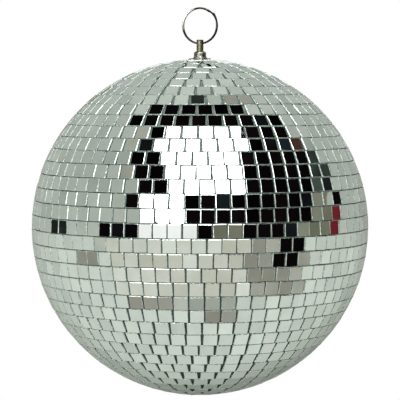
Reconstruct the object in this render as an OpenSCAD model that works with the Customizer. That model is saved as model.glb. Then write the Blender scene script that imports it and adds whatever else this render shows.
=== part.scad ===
// Mirror ball: a hollow plastic core faced with rows of square mirror tiles.
// It hangs from a split ring that passes through a cross-drilled post on its top pole.
// Millimetres, +Z up. The origin is the hook seat: the top of the ring's inside.
// The ring lies in the XZ plane, and the ball swings about X on the ring's lowest stretch.

/* [Ball] */
// Diameter over the mirror faces
ball_d = 250; // [200:10:300]
// Rows of tiles from pole to pole, counting the one at each pole that is left off
tile_rows = 38; // [30:2:44]
// Gap between neighbouring rows of tiles, at the mirror face
tile_gap = 0.58; // [0.5:0.02:1.2]
// Extra spacing along the rows at middle latitudes
mid_slack = 0.5; // [0:0.1:1]
// Thickness of the mirror glass
tile_t = 1.6; // [1.2:0.1:2.5]
// Thickness of the woven backing that carries the tiles
cloth_t = 0.35; // [0.2:0.05:0.6]

/* [Core] */
// Wall thickness of the two core shells
shell_t = 2.2; // [1.6:0.1:4]
// Height of the lip that centres the upper shell on the lower one
lip_h = 6; // [4:1:12]
// Radius of the flat boss that the hardware clamps at the top pole
boss_r = 9; // [8.5:0.1:9]
// Radius of the assembly hole at the bottom pole
plug_hole_r = 4; // [3.5:0.1:5]

/* [Hanger] */
// Outside diameter of the split ring
ring_d = 27.5; // [24:0.5:34]
// Thickness of the ring's wire, measured across the ring
wire_t = 1.3; // [1:0.1:1.4]
// Width of one turn of the wire, measured along the ring's axis
wire_w = 1.05; // [0.8:0.05:1.1]
// Diameter of the hanger post
post_d = 5.2; // [5:0.1:7]
// Height of the hanger post above the dome cap
post_h = 8.7; // [8:0.1:12]
// Diameter of the cross hole that the ring passes through
eye_d = 3; // [2.9:0.05:3.2]
// Diameter of the dome cap at its foot
dome_d = 10.6; // [10:0.1:13]
// Height of the dome cap
dome_h = 5.2; // [4.5:0.1:7]
// Diameter of the washer under the dome cap
washer_d = 16.5; // [14:0.5:18]
// Thickness of the washer under the dome cap
washer_t = 1; // [0.8:0.1:1.5]
// Diameter of the threaded stud
stud_d = 3; // [3:0.1:3.2]

/* [Hidden] */
$fn = 64;

// Sliding and threaded fits, as a gap in the radius
loose_fit = 0.1;
thread_fit = 0.02;

// Ball
ball_r = ball_d / 2;
glue = 0.05;
cloth_out = ball_r - tile_t - glue;
cloth_in = cloth_out - cloth_t;
core_out = cloth_in - glue;
core_in = core_out - shell_t;
laid_rows = tile_rows - 2;
row_step = 180 / tile_rows;
row_pitch = PI * ball_r / tile_rows;
tile_w = row_pitch - tile_gap;
joint_gap = 0.65;
min_pitch = tile_w + joint_gap;
golden = 0.618034;

// Core, with its flats at the poles a little below the mirror faces
top_sink = 0.6;
foot_sink = 1.6;
pole_z = ball_r - top_sink;
foot_z = -(ball_r - foot_sink);
pad_r = 21;
pad_t = 5.9;
pad_z = pole_z - pad_t;
cloth_clear = 0.4;
cloth_hole_r = boss_r + cloth_clear;
stud_hole_r = stud_d / 2 + loose_fit;
lip_t = 1.75;
lip_out = core_in - loose_fit;
lip_in = lip_out - lip_t;
lip_root = 8;

// Hanger stack, from the core's boss upwards
dome_z = pole_z + washer_t;
post_z = dome_z + dome_h;
post_top = post_z + post_h;
eye_drop = 2.8;
eye_z = post_top - eye_drop;
ring_mid_r = (ring_d - wire_t) / 2;
ring_z = eye_z + ring_mid_r;
seat_z = ring_z + ring_mid_r - wire_t / 2;
turn_gap = 0.05;
turn_y = (wire_w + turn_gap) / 2;
split_a = 49;
jog_a = 7;
bore_r = stud_d / 2 + thread_fit;
stud_in_post = 3.4;
bore_spare = 0.3;
post_bore_h = stud_in_post + bore_spare;
dome_wall = 0.7;

// Fixings inside the core, from the boss downwards
nut_af = 5.5;
jam_h = 1.8;
plate_r = 20;
plate_t = 1.5;
plate_z = pad_z - plate_t;
spring_t = 1;
spring_z = plate_z - spring_t;
nut_h = 2.4;
nut_z = spring_z - nut_h;
stud_below = 3.6;
stud_z = nut_z - stud_below;
stud_top = post_z + stud_in_post;

// Plug in the assembly hole
plug_head_r = 9.2;
plug_head_t = 1.5;
plug_stem_r = plug_hole_r - loose_fit;
barb = 0.35;
plug_barb_r = plug_hole_r + barb;

function two_digits(k) = str(k < 10 ? "0" : "", k);
function row_name(k) = str("tile_row_", two_digits(k));

// Moves what is drawn about the ball's centre into the hook seat's frame.
module hung() {
  translate([0, 0, -seat_z]) children();
}

// The section of one turn of wire, with its four corners taken off.
module wire_section(inset) {
  c = 0.25;
  x = wire_t / 2 - inset;
  y = wire_w / 2 - inset;
  polygon([
    [-x, c - y], [c - x, -y], [x - c, -y], [x, c - y],
    [x, y - c], [x - c, y], [c - x, y], [-x, y - c]
  ]);
}

// An arc of wire about Z, from one angle to another, in the turn at height h.
module wire_arc(from_a, to_a, h, inset = 0) {
  translate([0, 0, h])
    rotate([0, 0, from_a])
      rotate_extrude(angle = to_a - from_a, $fn = 180)
        translate([ring_mid_r, 0])
          wire_section(inset);
}

// The short stretch where the wire steps from one turn to the other, rooted in both.
module wire_step() {
  root_a = 1.5;
  inset = 0.02;
  hull() {
    wire_arc(split_a - jog_a - root_a, split_a - jog_a, -turn_y, inset);
    wire_arc(split_a + jog_a, split_a + jog_a + root_a, turn_y, inset);
  }
}

// Two turns of flat wire, like a key ring.
module split_ring() {
  end_gap_a = 0.8;
  start_a = split_a + jog_a;
  end_a = split_a - jog_a + 360;
  color("slategray")
    hung()
      translate([0, 0, ring_z])
        rotate([90, 0, 0])
          union() {
            wire_arc(start_a + end_gap_a, end_a, -turn_y);
            wire_arc(start_a, end_a - end_gap_a, turn_y);
            wire_step();
          }
}

// Turned post with a cross hole for the ring and a threaded blind hole for the stud.
module hanger_post() {
  r = post_d / 2;
  c = 0.35;
  color("darkkhaki")
    hung()
      difference() {
        translate([0, 0, post_z])
          rotate_extrude()
            polygon([[0, 0], [r, 0], [r, post_h - c], [r - c, post_h], [0, post_h]]);
        translate([0, 0, eye_z])
          rotate([0, 90, 0])
            cylinder(d = eye_d, h = post_d + 2, center = true);
        translate([0, 0, post_z - 1])
          cylinder(r = bore_r, h = post_bore_h + 1);
      }
}

// Threaded rod that ties the post, the dome and the core together.
module threaded_stud() {
  r = stud_d / 2;
  c = 0.3;
  h = stud_top - stud_z;
  color("silver")
    hung()
      translate([0, 0, stud_z])
        rotate_extrude()
          polygon([[0, 0], [r - c, 0], [r, c], [r, h - c], [r - c, h], [0, h]]);
}

// Thin spun cap: a flared foot, a steep side and a rounded shoulder.
module dome_cap() {
  flare = 0.75;
  foot_r = dome_d / 2;
  side_r = foot_r - flare;
  round_r = 1.7;
  top_h = dome_h - round_r;
  foot = [[0, 0], [foot_r, 0], [foot_r, 0.5], [side_r + 0.2, 1.3]];
  shoulder = [for (a = [0 : 15 : 90]) [
    side_r - round_r + round_r * cos(a),
    top_h + round_r * sin(a)
  ]];
  color("gainsboro")
    hung()
      translate([0, 0, dome_z])
        difference() {
          rotate_extrude()
            polygon(concat(foot, shoulder, [[0, dome_h]]));
          translate([0, 0, -1])
            cylinder(r = side_r - dome_wall, h = top_h + 1);
          translate([0, 0, -1])
            cylinder(r = side_r - round_r, h = dome_h - dome_wall + 1);
          cylinder(r = stud_hole_r, h = dome_h + 1);
        }
}

// Hexagon nut with both rims chamfered.
module hex_nut(h) {
  corner_r = nut_af / 2 / cos(30);
  c = corner_r - nut_af / 2;
  difference() {
    intersection() {
      cylinder(r = corner_r, h = h, $fn = 6);
      rotate_extrude()
        polygon([
          [0, 0], [corner_r - c, 0], [corner_r, c * 0.58], [corner_r, h - c * 0.58],
          [corner_r - c, h], [0, h]
        ]);
    }
    translate([0, 0, -1])
      cylinder(r = bore_r, h = h + 2);
  }
}

module jam_nut() {
  color("silver")
    hung()
      translate([0, 0, dome_z])
        hex_nut(jam_h);
}

module pole_washer() {
  color("gainsboro")
    hung()
      translate([0, 0, pole_z])
        difference() {
          cylinder(d = washer_d, h = washer_t);
          translate([0, 0, -1])
            cylinder(r = stud_hole_r, h = washer_t + 2);
        }
}

// The zone of a hollow sphere that lies between two heights.
module sphere_zone(r_out, r_in, z_low, z_high) {
  intersection() {
    difference() {
      sphere(r = r_out);
      sphere(r = r_in);
    }
    translate([0, 0, z_low])
      cylinder(r = r_out + 1, h = z_high - z_low);
  }
}

// Upper half of the core, thick and flat inside at the pole where the hardware clamps it.
module upper_core() {
  color("whitesmoke")
    hung()
      difference() {
        union() {
          sphere_zone(core_out, core_in, 0, core_out);
          intersection() {
            sphere(r = core_out);
            translate([0, 0, pad_z])
              cylinder(r = pad_r, h = pad_t + 1);
          }
          translate([0, 0, pad_z])
            cylinder(r = boss_r, h = pad_t);
        }
        translate([0, 0, pad_z - 1])
          cylinder(r = stud_hole_r, h = pad_t + 2);
      }
}

// Lower half of the core, with the lip that stands up inside the upper half.
module lower_core() {
  color("whitesmoke")
    hung()
      difference() {
        union() {
          sphere_zone(core_out, core_in, -core_out, 0);
          sphere_zone(core_in + 0.5, lip_in, -lip_root, 0);
          sphere_zone(lip_out, lip_in, -1, lip_h);
          difference() {
            translate([0, 0, foot_z])
              cylinder(r = boss_r, h = 3);
            sphere(r = core_in);
          }
        }
        translate([0, 0, foot_z - 1])
          cylinder(r = plug_hole_r, h = 8);
      }
}

// Woven backing that the tiles are stuck to, with a round hole at each pole.
module upper_backing_cloth() {
  color("white")
    hung()
      difference() {
        sphere_zone(cloth_out, cloth_in, 0, cloth_out);
        translate([0, 0, core_in])
          cylinder(r = cloth_hole_r, h = 10);
      }
}

module lower_backing_cloth() {
  color("white")
    hung()
      difference() {
        sphere_zone(cloth_out, cloth_in, -cloth_out, 0);
        translate([0, 0, -core_in - 10])
          cylinder(r = cloth_hole_r, h = 10);
      }
}

// Large plate washer that spreads the pull of the stud over the inside of the core.
module backing_plate() {
  color("silver")
    hung()
      translate([0, 0, plate_z])
        difference() {
          cylinder(r = plate_r, h = plate_t);
          translate([0, 0, -1])
            cylinder(r = stud_hole_r, h = plate_t + 2);
        }
}

// Split spring washer, pressed flat, with its slanted cut.
module spring_washer() {
  cut_w = 0.6;
  color("silver")
    hung()
      translate([0, 0, spring_z])
        difference() {
          cylinder(r = stud_d / 2 + 1.5, h = spring_t);
          translate([0, 0, -1])
            cylinder(r = stud_hole_r + 0.05, h = spring_t + 2);
          translate([stud_d / 2, 0, spring_t / 2])
            rotate([30, 0, 0])
              cube([6, cut_w, 4], center = true);
        }
}

module inner_nut() {
  color("silver")
    hung()
      translate([0, 0, nut_z])
        hex_nut(nut_h);
}

// Push-in plug: a domed head outside, a stem through the wall and a barb inside.
module bottom_plug() {
  wall_top = -core_in - foot_z;
  stem_h = wall_top + 0.25;
  rim = 0.6;
  color("lightgray")
    hung()
      translate([0, 0, foot_z])
        rotate_extrude()
          polygon([
            [0, -plug_head_t], [plug_head_r - 2.5, -plug_head_t],
            [plug_head_r - 0.6, -plug_head_t + 0.35], [plug_head_r, -rim], [plug_head_r, 0],
            [plug_stem_r, 0], [plug_stem_r, stem_h], [plug_barb_r, stem_h],
            [plug_barb_r, stem_h + 0.4], [plug_stem_r - 0.7, stem_h + 1.9], [0, stem_h + 1.9]
          ]);
}

// Latitude of a row's middle line. Row 1 is the highest that is laid.
function row_lat(k) = 90 - (k + 0.5) * row_step;

// Length of the circle along the edge of the row that faces its pole.
function short_side(k) = 2 * PI * ball_r * cos(abs(row_lat(k)) + row_step / 2);

// How many tiles fit in a row.
function row_pitch_at(k) = min_pitch + mid_slack * pow(sin(2 * row_lat(k)), 2);
function row_count(k) = floor(short_side(k) / row_pitch_at(k));

// Where a row starts round the ball: every row is laid on its own, with no pattern to the joints.
function row_start(k) = 360 / row_count(k) * (k * golden - floor(k * golden));

// One ring of flat square tiles, each square to the ball's radius at its middle.
module tile_row(k) {
  n = row_count(k);
  color("lightsteelblue")
    hung()
      for (i = [0 : n - 1])
        rotate([0, 0, row_start(k) + i * 360 / n])
          rotate([0, -row_lat(k), 0])
            translate([ball_r - tile_t, -tile_w / 2, -tile_w / 2])
              cube([tile_t, tile_w, tile_w]);
}

split_ring();
hanger_post();
threaded_stud();
dome_cap();
jam_nut();
pole_washer();
upper_core();
lower_core();
upper_backing_cloth();
lower_backing_cloth();
backing_plate();
spring_washer();
inner_nut();
bottom_plug();
for (k = [1 : laid_rows])
  tile_row(k);
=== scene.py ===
"""The mirror ball's looks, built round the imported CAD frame.

Every tile of the CAD rows is built again as a piece of cut mirror glass, and the ring, cap and washer get
finer meshes. The rest keeps its CAD shape and gets a material. Studio cards stand round the ball, placed
for this script's camera, because what a mirror ball shows is the studio.
"""

import math
import random

import bmesh
import bpy
from mathutils import Matrix, Vector

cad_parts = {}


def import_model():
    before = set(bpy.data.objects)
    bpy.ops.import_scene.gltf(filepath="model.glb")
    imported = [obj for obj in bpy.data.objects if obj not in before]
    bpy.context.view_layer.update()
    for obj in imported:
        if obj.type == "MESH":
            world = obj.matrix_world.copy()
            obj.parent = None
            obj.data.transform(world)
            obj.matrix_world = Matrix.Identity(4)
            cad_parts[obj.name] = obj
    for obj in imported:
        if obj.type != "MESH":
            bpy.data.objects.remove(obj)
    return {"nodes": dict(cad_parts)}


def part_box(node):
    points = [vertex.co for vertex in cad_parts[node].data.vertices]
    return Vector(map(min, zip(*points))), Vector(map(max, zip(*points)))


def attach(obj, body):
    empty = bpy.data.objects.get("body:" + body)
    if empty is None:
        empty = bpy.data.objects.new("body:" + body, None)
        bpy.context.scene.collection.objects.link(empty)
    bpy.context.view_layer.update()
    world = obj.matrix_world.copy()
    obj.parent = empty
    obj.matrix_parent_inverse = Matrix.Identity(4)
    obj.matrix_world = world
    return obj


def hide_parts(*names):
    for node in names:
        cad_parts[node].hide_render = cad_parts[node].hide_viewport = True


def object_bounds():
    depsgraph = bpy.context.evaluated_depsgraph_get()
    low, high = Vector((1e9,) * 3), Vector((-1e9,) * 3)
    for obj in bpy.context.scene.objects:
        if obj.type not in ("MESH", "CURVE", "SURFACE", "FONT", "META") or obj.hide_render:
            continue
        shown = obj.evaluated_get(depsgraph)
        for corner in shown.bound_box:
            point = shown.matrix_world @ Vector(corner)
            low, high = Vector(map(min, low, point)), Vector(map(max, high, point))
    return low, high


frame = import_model()
cad_low, cad_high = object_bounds()

MM = 0.001
UP = Vector((0, 0, 1))
ROW_NAMES = sorted(name for name in frame["nodes"] if name.startswith("tile_row_"))


# ---------------------------------------------------------------- measures taken from the frame

def ball_centre():
    """The two rows beside the equator mirror each other, so the ball's centre is halfway between them."""
    half = len(ROW_NAMES) // 2
    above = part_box(ROW_NAMES[half - 1])[0].z
    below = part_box(ROW_NAMES[half])[1].z
    return Vector((0, 0, (above + below) / 2))


CENTRE = ball_centre()
BALL_R = (cad_high.x - cad_low.x) / 2
# The camera stands this many degrees round from the ring's face
VIEW_AZIMUTH = 17.0


def direction(lat, lon):
    """Outward from the ball's centre, in degrees. Longitude 0 faces the camera and grows to its right."""
    a, b = math.radians(lat), math.radians(lon + VIEW_AZIMUTH)
    return Vector((math.cos(a) * math.sin(b), -math.cos(a) * math.cos(b), math.sin(a)))


# ---------------------------------------------------------------- camera

CAMERA_DISTANCE = 12 * BALL_R
CAMERA_ELEVATION = 3.9
# Degrees by which the camera aims above the ball's centre, which leaves room for the ring
AIM_ABOVE = 0.762
# Focal length in millimetres, on a sensor 36 mm wide
LENS = 181.0

camera = bpy.data.objects.new("camera", bpy.data.cameras.new("camera"))
camera.data.sensor_width = 36
camera.data.lens = LENS
camera.location = CENTRE + CAMERA_DISTANCE * direction(CAMERA_ELEVATION, 0)
camera.rotation_euler = (math.radians(90 - CAMERA_ELEVATION + AIM_ABOVE), 0, math.radians(VIEW_AZIMUTH))
bpy.context.scene.collection.objects.link(camera)
bpy.context.scene.camera = camera
bpy.context.scene.view_settings.view_transform = "Standard"


# ---------------------------------------------------------------- node materials

class Nodes:
    """A node tree, with short calls for the nodes used here."""

    def __init__(self, owner, coordinates="Object"):
        owner.use_nodes = True
        self.owner = owner
        self.tree = owner.node_tree
        self.place = self.tree.nodes.new("ShaderNodeTexCoord").outputs[coordinates]

    def new(self, kind, **settings):
        made = self.tree.nodes.new(kind)
        for key, value in settings.items():
            setattr(made, key, value)
        return made

    def link(self, source, socket):
        self.tree.links.new(source, socket)

    def noise(self, size, detail=3.0, stretch=(1, 1, 1)):
        """Noise whose features are about size across."""
        mapping = self.new("ShaderNodeMapping")
        mapping.inputs["Scale"].default_value = stretch
        made = self.new("ShaderNodeTexNoise")
        made.inputs["Scale"].default_value = 1 / size
        made.inputs["Detail"].default_value = detail
        self.link(self.place, mapping.inputs["Vector"])
        self.link(mapping.outputs["Vector"], made.inputs["Vector"])
        return made.outputs["Fac"]

    def ramp(self, source, *stops):
        """A colour ramp with (position, colour) stops."""
        made = self.new("ShaderNodeValToRGB")
        elements = made.color_ramp.elements
        while len(elements) < len(stops):
            elements.new(0.5)
        for element, (position, colour) in zip(elements, stops):
            element.position = position
            element.color = (*colour, 1)
        self.link(source, made.inputs["Fac"])
        return made.outputs["Color"]

    def spread(self, source, low, high, from_low=0.3, from_high=0.7):
        """Maps a value to a range."""
        made = self.new("ShaderNodeMapRange")
        made.inputs["From Min"].default_value = from_low
        made.inputs["From Max"].default_value = from_high
        made.inputs["To Min"].default_value = low
        made.inputs["To Max"].default_value = high
        self.link(source, made.inputs["Value"])
        return made.outputs["Result"]

    def blend(self, share, source, colour):
        """Goes from a colour source to a plain colour by a share from 0 to 1."""
        made = self.new("ShaderNodeMix", data_type="RGBA")
        made.inputs["B"].default_value = (*colour, 1)
        self.link(share, made.inputs["Factor"])
        self.link(source, made.inputs["A"])
        return made.outputs["Result"]

    def multiply(self, a, b):
        made = self.new("ShaderNodeMix", data_type="RGBA", blend_type="MULTIPLY")
        made.inputs["Factor"].default_value = 1
        self.link(a, made.inputs["A"])
        self.link(b, made.inputs["B"])
        return made.outputs["Result"]


class Surface(Nodes):
    """A material round one Principled surface."""

    def __init__(self, name):
        super().__init__(bpy.data.materials.new(name))
        self.material = self.owner
        self.surface = self.tree.nodes["Principled BSDF"]

    def set(self, **values):
        """Sets the surface's own sockets, written with _ for a space."""
        for key, value in values.items():
            self.surface.inputs[key.replace("_", " ")].default_value = value

    def colour(self, source):
        self.link(source, self.surface.inputs["Base Color"])

    def roughness(self, source):
        self.link(source, self.surface.inputs["Roughness"])

    def bump(self, source, strength, depth):
        made = self.new("ShaderNodeBump")
        made.inputs["Strength"].default_value = strength
        made.inputs["Distance"].default_value = depth
        self.link(source, made.inputs["Height"])
        self.link(made.outputs["Normal"], self.surface.inputs["Normal"])


def mirror_material():
    """Silvered float glass: a faint green, each tile a shade of its own, with a little haze and waviness."""
    n = Surface("mirror_glass")
    n.set(Metallic=1.0)
    island = n.new("ShaderNodeNewGeometry").outputs["Random Per Island"]
    shade = n.ramp(
        island,
        (0.0, (0.80, 0.84, 0.80)),
        (0.35, (0.86, 0.90, 0.865)),
        (0.7, (0.89, 0.925, 0.89)),
        (1.0, (0.84, 0.865, 0.83)),
    )
    film = n.ramp(n.noise(0.012, 4), (0.35, (0.94, 0.945, 0.935)), (0.6, (1, 1, 1)))
    n.colour(n.multiply(shade, film))
    n.roughness(n.spread(n.noise(0.004, 5), 0.004, 0.02))
    n.bump(n.noise(0.014, 1), 0.03, 0.0004)
    return n.material


def bevel_material():
    """The arris rubbed off round a tile's face: clear glass over silver, so it glints like a dull mirror."""
    n = Surface("bevel_glass")
    n.set(Metallic=1.0)
    tone = n.ramp(
        n.noise(0.0016, 4),
        (0.3, (0.36, 0.44, 0.40)),
        (0.5, (0.66, 0.73, 0.69)),
        (0.7, (0.86, 0.91, 0.88)),
    )
    n.colour(tone)
    n.roughness(n.spread(n.noise(0.0008, 3), 0.12, 0.34))
    return n.material


def ground_glass_material():
    """The upper part of a tile's cut side: frosted glass, from grey-green to pale."""
    n = Surface("ground_glass")
    n.set(Specular_IOR_Level=0.15)
    tone = n.ramp(
        n.noise(0.0016, 4),
        (0.30, (0.26, 0.34, 0.30)),
        (0.5, (0.52, 0.60, 0.56)),
        (0.7, (0.76, 0.82, 0.78)),
    )
    n.colour(tone)
    n.roughness(n.spread(n.noise(0.0008, 3), 0.25, 0.6))
    n.bump(n.noise(0.0005, 3), 0.4, 0.0002)
    return n.material


def glass_edge_material():
    """The side of a tile below its frosted part: the deep green of float glass seen edge-on."""
    n = Surface("glass_edge")
    n.set(Specular_IOR_Level=0.15)
    n.colour(n.ramp(n.noise(0.0015, 3), (0.35, (0.02, 0.06, 0.05)), (0.65, (0.09, 0.18, 0.155))))
    n.roughness(n.spread(n.noise(0.0008, 3), 0.2, 0.45))
    return n.material


def silver_paint_material():
    """The grey paint that protects the silvering on a tile's back."""
    n = Surface("backing_paint")
    n.colour(n.ramp(n.noise(0.002), (0.35, (0.06, 0.07, 0.065)), (0.65, (0.13, 0.14, 0.135))))
    n.roughness(n.spread(n.noise(0.001), 0.5, 0.75))
    return n.material


# Sets how close the backing's threads lie
WEAVE_SCALE = 420


def cloth_material():
    """Woven tile backing: two crossed sets of threads, a little dirty with glue."""
    n = Surface("backing_weave")
    warp = n.new("ShaderNodeTexWave", bands_direction="X")
    weft = n.new("ShaderNodeTexWave", bands_direction="Z")
    for wave in (warp, weft):
        wave.inputs["Scale"].default_value = WEAVE_SCALE
        wave.inputs["Distortion"].default_value = 1.5
        wave.inputs["Detail"].default_value = 1
        n.link(n.place, wave.inputs["Vector"])
    threads = n.new("ShaderNodeMath", operation="MAXIMUM")
    n.link(warp.outputs["Fac"], threads.inputs[0])
    n.link(weft.outputs["Fac"], threads.inputs[1])
    weave = n.ramp(threads.outputs[0], (0.0, (0.045, 0.068, 0.06)), (1.0, (0.13, 0.165, 0.15)))
    glue = n.ramp(n.noise(0.006, 4), (0.35, (0.72, 0.76, 0.72)), (0.6, (1, 1, 1)))
    n.colour(n.multiply(weave, glue))
    n.roughness(n.spread(n.noise(0.003), 0.7, 0.95))
    n.bump(threads.outputs[0], 0.5, 0.0002)
    return n.material


def core_material():
    """Moulded white plastic with a faint grain."""
    n = Surface("core_plastic")
    n.colour(n.ramp(n.noise(0.02), (0.3, (0.80, 0.80, 0.77)), (0.7, (0.88, 0.88, 0.86))))
    n.roughness(n.spread(n.noise(0.001), 0.45, 0.65))
    n.bump(n.noise(0.0008), 0.1, 0.0002)
    return n.material


# Where a highlight is painted on the ring's wire, as a direction from the ring's middle, and how far it
# reaches
RING_HIGHLIGHT_DIRECTION = Vector((-math.cos(math.radians(30)), 0, math.sin(math.radians(30))))
HIGHLIGHT_REACH = 10.5 * MM


def nickel_material():
    """Tarnished nickel on the ring's wire, with a highlight painted into its colour on one shoulder."""
    n = Surface("ring_nickel")
    n.set(Metallic=1.0, Specular_Tint=(0.22, 0.19, 0.16, 1))
    low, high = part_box("split_ring")
    # Distance from the middle of the highlight painted on the wire's upper-left shoulder
    rubbed = n.new("ShaderNodeVectorMath", operation="DISTANCE")
    n.link(n.place, rubbed.inputs[0])
    rubbed.inputs[1].default_value = (low + high) / 2 + RING_HIGHLIGHT_DIRECTION * (high.x - low.x) / 2
    tone = n.ramp(
        n.noise(0.004, 4),
        (0.35, (0.008, 0.006, 0.004)),
        (0.6, (0.02, 0.016, 0.012)),
        (0.78, (0.10, 0.085, 0.07)),
    )
    # Share of the painted highlight: full at its middle, none at its reach
    bright = n.spread(rubbed.outputs["Value"], 1, 0, 0, HIGHLIGHT_REACH)
    n.colour(n.blend(bright, tone, (0.68, 0.66, 0.62)))
    n.roughness(n.spread(n.noise(0.0009, 4), 0.10, 0.28))
    n.bump(n.noise(0.0006), 0.08, 0.0001)
    return n.material


def brass_material():
    """Dull plated brass, olive where the plating has thinned."""
    n = Surface("post_brass")
    n.set(Metallic=1.0)
    tone = n.ramp(
        n.noise(0.0024, 2),
        (0.3, (0.12, 0.115, 0.06)),
        (0.5, (0.17, 0.165, 0.095)),
        (0.7, (0.25, 0.245, 0.16)),
    )
    n.colour(tone)
    n.roughness(n.spread(n.noise(0.001, 2), 0.34, 0.44))
    return n.material


def chrome_material():
    """Dull chrome of the cap and washer, mottled grey and finely uneven."""
    n = Surface("cap_chrome")
    n.set(Metallic=1.0)
    tone = n.ramp(
        n.noise(0.0012, 5),
        (0.36, (0.09, 0.09, 0.075)),
        (0.5, (0.19, 0.195, 0.165)),
        (0.64, (0.33, 0.335, 0.29)),
    )
    n.colour(tone)
    n.roughness(n.spread(n.noise(0.002, 4), 0.3, 0.46))
    n.bump(n.noise(0.0014, 2), 0.5, 0.0003)
    return n.material


def zinc_material():
    """Zinc plated steel of the fixings inside the core."""
    n = Surface("zinc_steel")
    n.set(Metallic=1.0)
    n.colour(n.ramp(n.noise(0.002, 4), (0.3, (0.52, 0.53, 0.55)), (0.7, (0.72, 0.73, 0.74))))
    n.roughness(n.spread(n.noise(0.001), 0.25, 0.45))
    return n.material


def plug_material():
    """Moulded light grey plug."""
    n = Surface("plug_plastic")
    n.colour(n.ramp(n.noise(0.01), (0.3, (0.70, 0.71, 0.69)), (0.7, (0.80, 0.81, 0.79))))
    n.roughness(n.spread(n.noise(0.002), 0.25, 0.4))
    n.bump(n.noise(0.001), 0.06, 0.0001)
    return n.material


MIRROR = mirror_material()
BEVEL = bevel_material()
FROST = ground_glass_material()
EDGE = glass_edge_material()
PAINT = silver_paint_material()
CLOTH = cloth_material()
CORE = core_material()
NICKEL = nickel_material()
BRASS = brass_material()
CHROME = chrome_material()
ZINC = zinc_material()
PLUG = plug_material()


# ---------------------------------------------------------------- pieces

def piece(name, mesh, materials, body, slot, *nodes):
    """Puts a finished mesh in the scene as a piece that rides on a body and stands for CAD nodes."""
    made = bpy.data.objects.new(name, mesh)
    bpy.context.scene.collection.objects.link(made)
    for material in materials:
        mesh.materials.append(material)
    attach(made, body)
    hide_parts(*nodes)
    return made


def mesh_from(name, points, faces, indices=None, smooth=False):
    mesh = bpy.data.meshes.new(name)
    mesh.from_pydata([tuple(p) for p in points], [], faces)
    if indices:
        mesh.polygons.foreach_set("material_index", indices)
    mesh.polygons.foreach_set("use_smooth", [smooth] * len(faces))
    mesh.update()
    return mesh


def repaint(node, material):
    """Gives a CAD node that keeps its shape its material."""
    slots = frame["nodes"][node].data.materials
    slots.clear()
    slots.append(material)


# ---------------------------------------------------------------- mirror tiles

# How far a tile laid by hand strays from its place
TILT_DEG = 0.75
TURN_DEG = 0.8
SHIFT_ALONG = 0.25 * MM
SHIFT_ACROSS = 0.09 * MM
LIFT = 0.08 * MM
SHRINK = 0.08 * MM
# The bevel round the face: its widths on the east, north, west and south sides, and its depth
RIM_WIDTHS = [
    (0.14 * MM, 0.36 * MM),
    (0.16 * MM, 0.42 * MM),
    (0.14 * MM, 0.36 * MM),
    (0.05 * MM, 0.12 * MM),
]
RIM_DEPTH = 0.12 * MM
# How much is cut off each corner, and off the one that is chipped on a small share of the tiles
CORNER = (0.10 * MM, 0.45 * MM)
CHIP = (0.8 * MM, 1.7 * MM)
CHIP_SHARE = 0.02
# The painted part of a tile's side from its back, and the depth below its face where the frost ends
PAINT_DEPTH = 0.14 * MM
FROST_DEPTH = 1.0 * MM
# How far the back is drawn in all round
BACK_INSET = 0.06 * MM
TILE_MATERIALS = [MIRROR, BEVEL, FROST, EDGE, PAINT]
MIRROR_FACE, BEVEL_FACE, FROST_FACE, EDGE_FACE, PAINT_FACE = range(len(TILE_MATERIALS))


def islands(node):
    """The corners of each separate solid of a CAD node."""
    work = bmesh.new()
    work.from_mesh(frame["nodes"][node].data)
    bmesh.ops.remove_doubles(work, verts=work.verts, dist=1e-6)
    left, found = set(work.verts), []
    while left:
        stack, members = [left.pop()], []
        while stack:
            vertex = stack.pop()
            members.append(vertex.co.copy())
            for edge in vertex.link_edges:
                other = edge.other_vert(vertex)
                if other in left:
                    left.remove(other)
                    stack.append(other)
        found.append(members)
    work.free()
    return sorted(found, key=lambda m: longitude(sum(m, Vector()) / len(m)))


def longitude(point):
    return math.atan2(point.x, -point.y)


def outline(half, cuts):
    """A square's eight corner points, anticlockwise, each corner cut off by its own amount."""
    corners = [(half, half), (-half, half), (-half, -half), (half, -half)]
    along = [((0, -1), (-1, 0)), ((1, 0), (0, -1)), ((0, 1), (1, 0)), ((-1, 0), (0, 1))]
    points = []
    for (x, y), cut, (before, after) in zip(corners, cuts, along):
        points.append((x + before[0] * cut, y + before[1] * cut))
        points.append((x + after[0] * cut, y + after[1] * cut))
    return points


def inset(points, sides, half):
    """Moves an outline in by each side's own amount: east, north, west, south."""
    east, north, west, south = sides
    scale_x = (2 * half - east - west) / (2 * half)
    scale_y = (2 * half - north - south) / (2 * half)
    shift_x, shift_y = (west - east) / 2, (south - north) / 2
    return [(x * scale_x + shift_x, y * scale_y + shift_y) for x, y in points]


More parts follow.
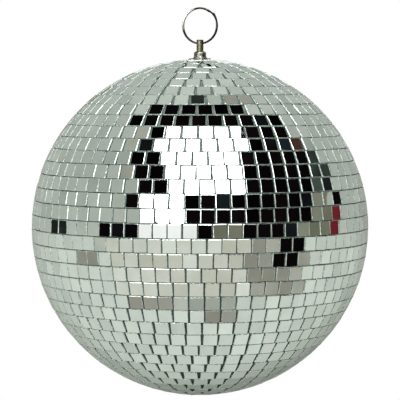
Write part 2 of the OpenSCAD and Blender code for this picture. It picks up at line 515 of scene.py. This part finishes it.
def tile(corners, rng, points, faces, indices):
    """Builds one tile of cut mirror glass where the CAD tile is."""
    middle = sum(corners, Vector()) / len(corners)
    out = (middle - CENTRE).normalized()
    east = UP.cross(out).normalized()
    north = out.cross(east)
    half = max(abs((c - middle).dot(east)) for c in corners)
    thick = 2 * max(abs((c - middle).dot(out)) for c in corners)

    turn = Matrix.Rotation(math.radians(rng.gauss(0, TURN_DEG)), 3, out)
    turn = Matrix.Rotation(math.radians(rng.gauss(0, TILT_DEG)), 3, east) @ turn
    turn = Matrix.Rotation(math.radians(rng.gauss(0, TILT_DEG)), 3, north) @ turn
    east, north, out = turn @ east, turn @ north, turn @ out
    middle = middle + east * rng.uniform(-SHIFT_ALONG, SHIFT_ALONG)
    middle = middle + north * rng.uniform(-SHIFT_ACROSS, SHIFT_ACROSS)
    middle = middle + out * rng.uniform(0, LIFT)
    half = half - rng.uniform(0, SHRINK)

    cuts = [rng.uniform(*CORNER) for _ in range(4)]
    if rng.random() < CHIP_SHARE:
        cuts[rng.randrange(4)] = rng.uniform(*CHIP)
    sides = [rng.uniform(*width) for width in RIM_WIDTHS]
    full = outline(half, cuts)
    layers = [
        (inset(full, [BACK_INSET] * 4, half), -thick / 2),
        (full, -thick / 2 + PAINT_DEPTH),
        (full, thick / 2 - FROST_DEPTH),
        (full, thick / 2 - RIM_DEPTH),
        (inset(full, sides, half), thick / 2),
    ]
    first = len(points)
    for ring, height in layers:
        points.extend(middle + east * x + north * y + out * height for x, y in ring)
    count = len(full)
    for layer, kind in enumerate((PAINT_FACE, EDGE_FACE, FROST_FACE, BEVEL_FACE)):
        low, high = first + layer * count, first + (layer + 1) * count
        for i in range(count):
            j = (i + 1) % count
            faces.append((low + i, low + j, high + j, high + i))
            indices.append(kind)
    top = first + (len(layers) - 1) * count
    faces.append(tuple(range(top, top + count)))
    indices.append(MIRROR_FACE)
    faces.append(tuple(reversed(range(first, first + count))))
    indices.append(PAINT_FACE)


def tile_rows():
    for number, node in enumerate(ROW_NAMES, start=1):
        rng = random.Random(number)
        points, faces, indices = [], [], []
        for corners in islands(node):
            tile(corners, rng, points, faces, indices)
        mesh = mesh_from(f"mirror_{node}", points, faces, indices)
        piece(f"mirror_{node}", mesh, TILE_MATERIALS, "ball", "mirror_tile", node)


# ---------------------------------------------------------------- turned pieces

# The hole that the stud passes through in the cap and the washer
STUD_HOLE = 1.6 * MM


def turned(name, profile, segments=96):
    """A solid of revolution about Z from a closed profile of (radius, height) points, none on the axis."""
    points, faces = [], []
    count = len(profile)
    for s in range(segments):
        a = 2 * math.pi * s / segments
        points.extend((r * math.cos(a), r * math.sin(a), z) for r, z in profile)
    for s in range(segments):
        here, there = s * count, (s + 1) % segments * count
        for i in range(count):
            j = (i + 1) % count
            faces.append((here + i, there + i, there + j, here + j))
    return mesh_from(name, points, faces, smooth=True)


def arc(centre, radius, start, end, steps=8):
    """Profile points along an arc, in degrees."""
    angles = [math.radians(start + (end - start) * i / steps) for i in range(steps + 1)]
    return [(centre[0] + radius * math.cos(a), centre[1] + radius * math.sin(a)) for a in angles]


def sharp_edges(mesh, degrees):
    """Marks edges sharper than an angle, so that a smooth mesh keeps its corners."""
    work = bmesh.new()
    work.from_mesh(mesh)
    bmesh.ops.recalc_face_normals(work, faces=work.faces)
    for edge in work.edges:
        if len(edge.link_faces) == 2 and edge.calc_face_angle(0) > math.radians(degrees):
            edge.smooth = False
    work.to_mesh(mesh)
    work.free()


def cap():
    """Spun dome with a rolled foot."""
    low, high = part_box("dome_cap")
    foot, height = high.x, high.z - low.z
    side = foot - 0.75 * MM
    wall = 0.7 * MM
    soft = 1.7 * MM
    roll = 0.3 * MM
    lead = 0.15 * MM
    profile = [(side - wall, 0.0), (foot - roll, 0.0)]
    profile += arc((foot - roll, roll), roll, -90, 60, 6)
    profile += [(side + 0.28 * MM, 0.95 * MM), (side + 0.1 * MM, 1.5 * MM), (side, 2.2 * MM)]
    profile += arc((side - soft, height - soft), soft, 0, 90, 10)
    profile += [(STUD_HOLE + lead, height), (STUD_HOLE, height - lead), (STUD_HOLE, height - wall)]
    profile += [(side - soft, height - wall)]
    profile += [(side - wall, height - soft)]
    mesh = turned("cap", [(r, z + low.z) for r, z in profile])
    sharp_edges(mesh, 50)
    piece("spun_cap", mesh, [CHROME], "ball", "cap_chrome", "dome_cap")


def washer():
    """Flat washer with rounded rims."""
    low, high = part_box("pole_washer")
    soft = 0.25 * MM
    profile = [(STUD_HOLE, low.z), (high.x - soft, low.z)]
    profile += arc((high.x - soft, low.z + soft), soft, -90, 0, 5)
    profile += arc((high.x - soft, high.z - soft), soft, 0, 90, 5)
    profile += [(STUD_HOLE, high.z)]
    mesh = turned("washer", profile)
    sharp_edges(mesh, 50)
    piece("top_washer", mesh, [CHROME], "ball", "cap_chrome", "pole_washer")


# ---------------------------------------------------------------- split ring

# The wire's thickness and width, and half the slit between the two turns
WIRE_T, WIRE_W = 1.3 * MM, 1.05 * MM
HALF_SLIT = 0.03 * MM
# In degrees round the ring: where one turn steps to the other, half the step, and from it to each end
STEP_AT, STEP_HALF, END_GAP = 49.0, 7.0, 0.8
# How far in mm each end springs, outward on the last and inward on the first, and over how many degrees
LAST_SPRING, LAST_REACH = 0.95, 50
FIRST_SPRING, FIRST_REACH = 0.6, 45


def split_ring():
    """Two turns of flat wire in one sweep, with a smooth step from one turn to the other."""
    low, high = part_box("split_ring")
    outer = (high.x - low.x) / 2
    centre = Vector((0, 0, (low.z + high.z) / 2))
    mid = outer - WIRE_T / 2
    turn_y = WIRE_W / 2 + HALF_SLIT
    start = STEP_AT + STEP_HALF + END_GAP
    finish = STEP_AT - STEP_HALF - END_GAP + 720
    soft = 0.28 * MM
    section = []
    for cx, cy, a in ((1, -1, -90), (1, 1, 0), (-1, 1, 90), (-1, -1, 180)):
        corner = (cx * (WIRE_T / 2 - soft), cy * (WIRE_W / 2 - soft))
        section += arc(corner, soft, a, a + 90, 3)
    rings = 300
    points, faces = [], []
    for i in range(rings + 1):
        angle = start + (finish - start) * i / rings
        through = (angle - (STEP_AT + 360 - STEP_HALF)) / (2 * STEP_HALF)
        through = min(max(through, 0), 1)
        last_end = min(max(1 - (finish - angle) / LAST_REACH, 0), 1)
        first_end = min(max(1 - (angle - start) / FIRST_REACH, 0), 1)
        spring = (LAST_SPRING * last_end ** 1.5 - FIRST_SPRING * first_end ** 2) * MM
        side = turn_y * (1 - 2 * through * through * (3 - 2 * through))
        out = Vector((math.cos(math.radians(angle)), 0, math.sin(math.radians(angle))))
        for x, y in section:
            points.append(centre + out * (mid + spring + x) + Vector((0, side + y, 0)))
    count = len(section)
    for i in range(rings):
        for j in range(count):
            k = (j + 1) % count
            faces.append((i * count + j, i * count + k, (i + 1) * count + k, (i + 1) * count + j))
    faces.append(tuple(range(count)))
    faces.append(tuple(reversed(range(rings * count, (rings + 1) * count))))
    mesh = mesh_from("split_ring", points, faces, smooth=True)
    sharp_edges(mesh, 60)
    piece("wire_ring", mesh, [NICKEL], "ring", "ring_nickel", "split_ring")


# ---------------------------------------------------------------- studio

# Metres from the ball to the first card, and from each card in the list to the next
CARD_DISTANCE = 3.0
CARD_STEP = 0.01


def glow(name, strength, *tones, size=0.3):
    """A card that glows in uneven tones, given as (position, colour) stops."""
    n = Nodes(bpy.data.materials.new(name))
    n.tree.nodes.remove(n.tree.nodes["Principled BSDF"])
    shine = n.new("ShaderNodeEmission")
    shine.inputs["Strength"].default_value = strength
    n.link(n.ramp(n.noise(size, 2), *tones), shine.inputs["Color"])
    n.link(shine.outputs["Emission"], n.tree.nodes["Material Output"].inputs["Surface"])
    return n.owner


SOFTBOX = glow("softbox", 8.0, (0.3, (0.97, 0.98, 0.96)), (0.7, (1, 1, 1)))
BLACK = glow(
    "black_velvet",
    1.0,
    (0.38, (0.0015, 0.001, 0.0015)),
    (0.60, (0.005, 0.003, 0.004)),
    (0.75, (0.012, 0.019, 0.025)),
)
CHARCOAL = glow("charcoal_cloth", 1.0, (0.4, (0.012, 0.015, 0.014)), (0.6, (0.06, 0.075, 0.068)))
RED = glow("red_cloth", 1.0, (0.4, (0.11, 0.008, 0.014)), (0.6, (0.18, 0.02, 0.028)))
DARK_RED = glow("dark_red_cloth", 1.0, (0.4, (0.03, 0.012, 0.01)), (0.6, (0.07, 0.03, 0.025)))
OLIVE = glow("olive_board", 1.0, (0.4, (0.16, 0.165, 0.115)), (0.6, (0.25, 0.255, 0.205)))
BEIGE = glow("beige_board", 1.0, (0.4, (0.58, 0.585, 0.51)), (0.6, (0.73, 0.75, 0.70)))
BROWN = glow("brown_board", 1.0, (0.4, (0.28, 0.275, 0.235)), (0.6, (0.42, 0.42, 0.37)))
DARK_BROWN = glow("dark_brown_board", 1.0, (0.4, (0.30, 0.285, 0.25)), (0.6, (0.38, 0.37, 0.34)))
GREY = glow("grey_board", 1.0, (0.35, (0.33, 0.345, 0.31)), (0.65, (0.55, 0.575, 0.53)))
WHITE = glow("white_paper", 1.0, (0, (1, 1, 1)), (1, (1, 1, 1)))


def mirrored(lat, lon, distance):
    """Where a card has to stand to be seen from the camera in the ball at this latitude and longitude."""
    spot = CENTRE + BALL_R * direction(lat, lon)
    view = (spot - camera.location).normalized()
    return spot + view.reflect(direction(lat, lon)) * distance


def grid(name, at, material):
    """A curved card through at(across, down), where both run from 0 to 1."""
    steps = 12
    points, faces = [], []
    for i in range(steps + 1):
        for j in range(steps + 1):
            points.append(at(j / steps, i / steps))
    for i in range(steps):
        for j in range(steps):
            a = i * (steps + 1) + j
            faces.append((a, a + 1, a + steps + 2, a + steps + 1))
    made = bpy.data.objects.new(name, mesh_from(name, points, faces))
    made.data.materials.append(material)
    made.visible_camera = False
    bpy.context.scene.collection.objects.link(made)


def card(name, top, bottom, material, distance):
    """A card that shows in the ball between two latitudes. Each is given as (latitude, west, east)."""
    def at(across, down):
        lat, west, east = (a + (b - a) * down for a, b in zip(top, bottom))
        return mirrored(lat, west + (east - west) * across, distance)

    grid(name, at, material)


def far_card(name, low, high, west, east, material, distance):
    """A card that stands between two heights and two bearings seen from the ball, in degrees."""
    def at(across, down):
        return CENTRE + distance * direction(high + (low - high) * down, west + (east - west) * across)

    grid(name, at, material)


def studio():
    """The cards, from the top of the ball down, as (latitude, west, east) of their upper and lower edges.

    The angles were set so that the cards show in the ball where the photographed ball shows such
    patches, and that holds from this script's camera only. Each card stands a little behind the last.
    """
    cards = [
        ("high_dot", (52.1, -3, 3), (47.4, -3, 3), CHARCOAL),
        ("high_board", (52.1, 14, 31), (47.4, 14, 31), DARK_BROWN),
        ("top_flag", (47.4, -24, 19), (42.6, -24, 19), BLACK),
        ("top_flag_edge", (42.6, -28.5, 39), (37.9, -28.5, 39), BLACK),
        ("left_board", (37.9, -28.5, -23), (14.2, -28.5, -24), BROWN),
        ("left_flag", (37.9, -23, -16), (18.9, -24, -14), BLACK),
        ("left_flag_low", (18.9, -18.5, -9.5), (14.2, -18.5, -9.5), BLACK),
        ("key_softbox", (37.9, -16, 15.8), (18.9, -14, 14), SOFTBOX),
        ("key_softbox_low", (18.9, -9.5, 14.5), (14.2, -9.5, 13.5), SOFTBOX),
        ("right_flag", (37.9, 15, 39), (33.2, 14, 39), BLACK),
        ("right_flag_mid", (33.2, 14, 35), (28.4, 14, 35), BLACK),
        ("right_red", (33.2, 33, 45), (28.4, 33, 45), DARK_RED),
        ("right_flag_low", (28.4, 13, 43), (14.2, 12, 42.5), BLACK),
        ("right_cloth", (28.4, 41, 48), (14.2, 41, 53.5), CHARCOAL),
        ("low_softbox", (14.2, -19.5, -8.5), (9.5, -19.5, -7.3), SOFTBOX),
        ("low_flag_dot", (14.2, -26.5, -19.5), (9.5, -26.5, -19.5), BLACK),
        ("low_flag", (14.2, -8.5, 38.8), (4.7, -6, 36.8), BLACK),
        ("olive_side", (14.2, 33, 47.6), (0, 33, 46.4), OLIVE),
        ("olive_side_dark", (14.2, 47.6, 52.3), (9.5, 47.6, 52.3), BLACK),
        ("olive_side_red", (9.5, 46.4, 51.5), (0, 46.4, 51.5), RED),
        ("lowest_softbox", (9.5, -22.5, -7.3), (4.7, -22, -6), SOFTBOX),
        ("last_softbox", (4.8, -21.5, -3), (0.2, -21.5, -3), WHITE),
        ("last_flag_left", (4.8, -32, -21.5), (0.2, -32, -21.5), BLACK),
        ("last_flag_dot", (4.8, -3, 2.5), (0.2, -3, 2.5), BLACK),
        ("last_board", (4.8, 2.5, 15), (0.2, 2.5, 15), OLIVE),
        ("last_flag", (4.8, 14, 36), (0.2, 14, 36), BLACK),
        ("tail_flag", (0.2, 25, 34), (-9.5, 26, 31), BLACK),
        ("left_post", (4.8, -56, -51), (0.2, -56, -51), CHARCOAL),
        ("left_shade", (0.2, -37, -31), (-4.8, -37, -31), GREY),
        ("left_patch", (-4.8, -42, -37), (-9.5, -42, -37), BROWN),
        ("front_strip", (-18.9, -23, -10), (-23.7, -23, -10), DARK_BROWN),
        ("front_patch", (-23.7, 5, 12), (-28.4, 5, 12), DARK_BROWN),
        ("front_board", (0.2, -31, 16), (-18.9, -31, 16), BEIGE),
        ("front_board_right", (0.2, 16, 37), (-18.9, 16, 37), BROWN),
        ("front_board_low", (-18.9, -25, 14), (-25, -22, 14), GREY),
    ]
    for place, (name, top, bottom, material) in enumerate(cards):
        card(name, top, bottom, material, CARD_DISTANCE + CARD_STEP * place)
    behind = [
        ("back_paper", 3, 15, 172, 186, WHITE),
        ("back_board", -12, 2.8, 168, 190, OLIVE),
        ("back_side", 3, 15, 186.2, 198, BROWN),
    ]
    for name, low, high, west, east, material in behind:
        far_card(name, low, high, west, east, material, CARD_DISTANCE)


def floor():
    """A plain pale floor far below the ball, seen by the camera only."""
    half, drop = 9.0, 2.6
    corners = [(-half, -half), (half, -half), (half, half), (-half, half)]
    mesh = mesh_from("floor", [(x, y, -drop) for x, y in corners], [(0, 1, 2, 3)])
    mesh.materials.append(WHITE)
    made = bpy.data.objects.new("floor", mesh)
    bpy.context.scene.collection.objects.link(made)
    made.visible_glossy = False
    made.visible_diffuse = False
    made.visible_shadow = False


# How much of the walls' light reaches matt surfaces, from straight below (0) to straight above (1)
DIFFUSE_SHARE = [(0.0, 0.34), (0.4, 0.26), (0.58, 0.08), (1.0, 0.08)]


def world():
    """Pale walls over a bright floor, with a glow high up behind the ball and shade low behind it.

    The camera sees plain white.
    """
    n = Nodes(bpy.data.worlds.new("studio_walls"), "Generated")
    bpy.context.scene.world = n.owner

    def along(axis):
        """How nearly each direction points along an axis, from 0 to 1."""
        dot = n.new("ShaderNodeVectorMath", operation="DOT_PRODUCT")
        dot.inputs[1].default_value = axis
        n.link(n.place, dot.inputs[0])
        return n.spread(dot.outputs["Value"], 0, 1, -1, 1)

    height = n.ramp(
        along(UP),
        (0.0, (0.68, 0.72, 0.675)),
        (0.40, (0.65, 0.69, 0.64)),
        (0.50, (0.47, 0.50, 0.46)),
        (0.70, (0.42, 0.45, 0.415)),
        (0.85, (0.42, 0.45, 0.42)),
        (1.0, (0.58, 0.61, 0.57)),
    )
    shade = n.ramp(
        along(direction(-29, 175)),
        (0.70, (1, 1, 1)),
        (0.86, (0.92, 0.92, 0.92)),
        (0.92, (0.76, 0.765, 0.75)),
        (0.97, (0.56, 0.565, 0.55)),
        (1.0, (0.37, 0.375, 0.36)),
    )
    glow_behind = n.ramp(
        along(direction(40, 180)),
        (0.78, (1, 1, 1)),
        (0.9, (1.06, 1.06, 1.06)),
        (1.0, (1.13, 1.13, 1.13)),
    )
    patches = n.ramp(
        n.noise(0.16, 3),
        (0.32, (0.82, 0.83, 0.82)),
        (0.44, (0.97, 0.97, 0.97)),
        (0.7, (1.10, 1.10, 1.09)),
    )
    walls = n.tree.nodes["Background"]
    tone = n.multiply(n.multiply(height, shade), n.multiply(glow_behind, patches))
    n.link(tone, walls.inputs["Color"])
    rays = n.new("ShaderNodeLightPath")
    share = n.ramp(along(UP), *[(place, (value,) * 3) for place, value in DIFFUSE_SHARE])
    full = n.new("ShaderNodeMix", data_type="RGBA")
    full.inputs["A"].default_value = (1, 1, 1, 1)
    n.link(rays.outputs["Is Diffuse Ray"], full.inputs["Factor"])
    n.link(share, full.inputs["B"])
    n.link(full.outputs["Result"], walls.inputs["Strength"])
    white = n.new("ShaderNodeBackground")
    white.inputs["Color"].default_value = (1, 1, 1, 1)
    mix = n.new("ShaderNodeMixShader")
    n.link(rays.outputs["Is Camera Ray"], mix.inputs[0])
    n.link(walls.outputs[0], mix.inputs[1])
    n.link(white.outputs[0], mix.inputs[2])
    n.link(mix.outputs[0], n.tree.nodes["World Output"].inputs["Surface"])


# ---------------------------------------------------------------- the whole

tile_rows()
cap()
washer()
split_ring()
repaint("hanger_post", BRASS)
for cloth in ("upper_backing_cloth", "lower_backing_cloth"):
    repaint(cloth, CLOTH)
for shell in ("upper_core", "lower_core"):
    repaint(shell, CORE)
for fixing in ("threaded_stud", "jam_nut", "backing_plate", "spring_washer", "inner_nut"):
    repaint(fixing, ZINC)
repaint("bottom_plug", PLUG)
studio()
floor()
world()
